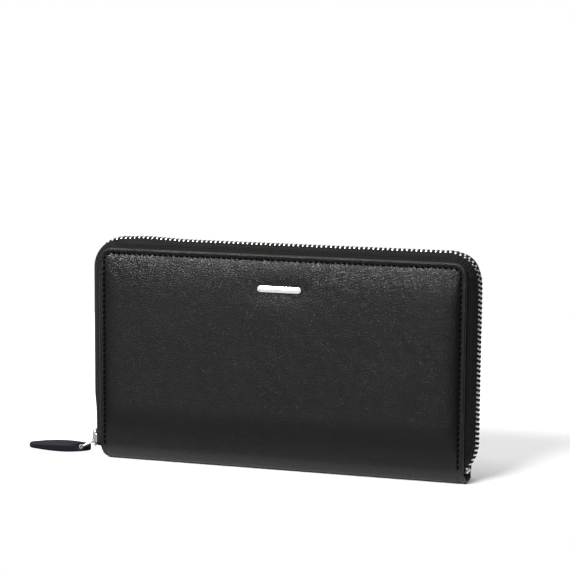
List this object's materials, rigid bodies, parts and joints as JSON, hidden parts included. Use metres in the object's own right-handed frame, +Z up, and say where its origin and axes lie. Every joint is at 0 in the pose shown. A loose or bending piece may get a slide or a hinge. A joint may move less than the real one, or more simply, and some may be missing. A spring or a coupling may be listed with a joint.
{
  "type": "long zip-around wallet",
  "caption": "Long padded leather wallet standing on its spine, closed by a metal zip round three edges, with card pockets, note compartments and a zipped coin pocket inside.",
  "frame": {"origin": "middle of the spine's flat underside, where the standing wallet rests", "axes": "+X along the spine, from the slider's end to the zip's closed end as seen from the front; the front cover faces -Y; +Z up, from the spine to the zip"},
  "size_m": [0.2361, 0.0233, 0.1138],
  "materials": {
    "cover_leather": "fine pebble grain, satin",
    "pocket_leather": "smooth, matte",
    "pull_leather": "smooth, matte",
    "lining": "plain weave",
    "zip_tape": "woven",
    "zip_metal": "polished nickel plate",
    "plate_metal": "polished",
    "board": "raw",
    "padding": "raw foam"
  },
  "bodies": {
    "back_cover_and_spine": {"spine_leather": "cover_leather", "spine_stiffener": "board", "back_cover_leather": "cover_leather", "back_cover_padding": "padding", "back_cover_board": "board", "back_cover_lining": "lining", "back_card_pocket_1": "pocket_leather", "back_card_pocket_2": "pocket_leather", "back_card_pocket_3": "pocket_leather", "back_card_pocket_4": "pocket_leather", "back_zip_tape": "zip_tape", "back_zip_teeth": "zip_metal", "front_teeth_left_end": "zip_metal", "front_teeth_right_end": "zip_metal", "front_tape_left_end": "zip_tape", "front_tape_right_end": "zip_tape", "front_top_stop": "zip_metal", "back_top_stop": "zip_metal", "bottom_stop": "zip_metal", "left_gusset": "lining", "right_gusset": "lining"},
    "front_cover": {"front_cover_leather": "cover_leather", "front_cover_padding": "padding", "front_cover_board": "board", "front_cover_lining": "lining", "front_card_pocket_1": "pocket_leather", "front_card_pocket_2": "pocket_leather", "front_card_pocket_3": "pocket_leather", "front_card_pocket_4": "pocket_leather", "front_zip_tape": "zip_tape", "front_zip_teeth": "zip_metal", "nameplate": "plate_metal"},
    "coin_pocket": {"coin_pocket_front_wall": "lining", "coin_pocket_back_wall": "lining", "coin_pocket_bottom_strip": "lining", "coin_pocket_left_strip": "lining", "coin_pocket_right_strip": "lining", "coin_zip_front_tape": "zip_tape", "coin_zip_back_tape": "zip_tape", "coin_zip_chain": "zip_metal", "coin_zip_left_stop": "zip_metal", "coin_zip_right_stop": "zip_metal"},
    "slider": {"slider_outer_plate": "zip_metal", "slider_inner_plate": "zip_metal", "slider_bridge": "zip_metal"},
    "pull_ring": {"pull_ring": "zip_metal"},
    "pull_tab": {"pull_tab_outer_leather": "pull_leather", "pull_tab_inner_leather": "pull_leather"},
    "coin_slider": {"coin_slider_body": "zip_metal"},
    "coin_pull": {"coin_pull": "zip_metal"}
  },
  "joints": [
    {"name": "cover_open", "type": "hinge", "parent": "back_cover_and_spine", "child": "front_cover", "pos_m": [0, -0.01025, 0.011], "axis": [1, 0, 0], "range_deg": [0, 60], "deforming": ["left_gusset", "right_gusset"]},
    {"name": "coin_pocket_swing", "type": "hinge", "parent": "back_cover_and_spine", "child": "coin_pocket", "pos_m": [0, -0.01025, 0.011], "axis": [1, 0, 0], "range_deg": [0, 30]},
    {"name": "slider_travel", "type": "slide", "parent": "back_cover_and_spine", "child": "slider", "axis": [0, 0, 1], "range_m": [0, 0.078]},
    {"name": "ring_swing", "type": "hinge", "parent": "slider", "child": "pull_ring", "pos_m": [-0.10135, 0, 0.0072], "axis": [-0.1392, 0.9903, 0], "range_deg": [-45, 60]},
    {"name": "tab_swing", "type": "hinge", "parent": "pull_ring", "child": "pull_tab", "pos_m": [-0.10926, -0.00111, 0.00328], "axis": [-0.1392, 0.9903, 0], "range_deg": [-45, 25]},
    {"name": "coin_slider_travel", "type": "slide", "parent": "coin_pocket", "child": "coin_slider", "axis": [1, 0, 0], "range_m": [0, 0.15]},
    {"name": "coin_pull_swing", "type": "hinge", "parent": "coin_slider", "child": "coin_pull", "pos_m": [-0.075, 0, 0.099], "axis": [0, 1, 0], "range_deg": [0, 170]}
  ],
  "couplings": [
    {"joint": "coin_pocket_swing", "follows": "cover_open", "ratio": 0.5}
  ]
}
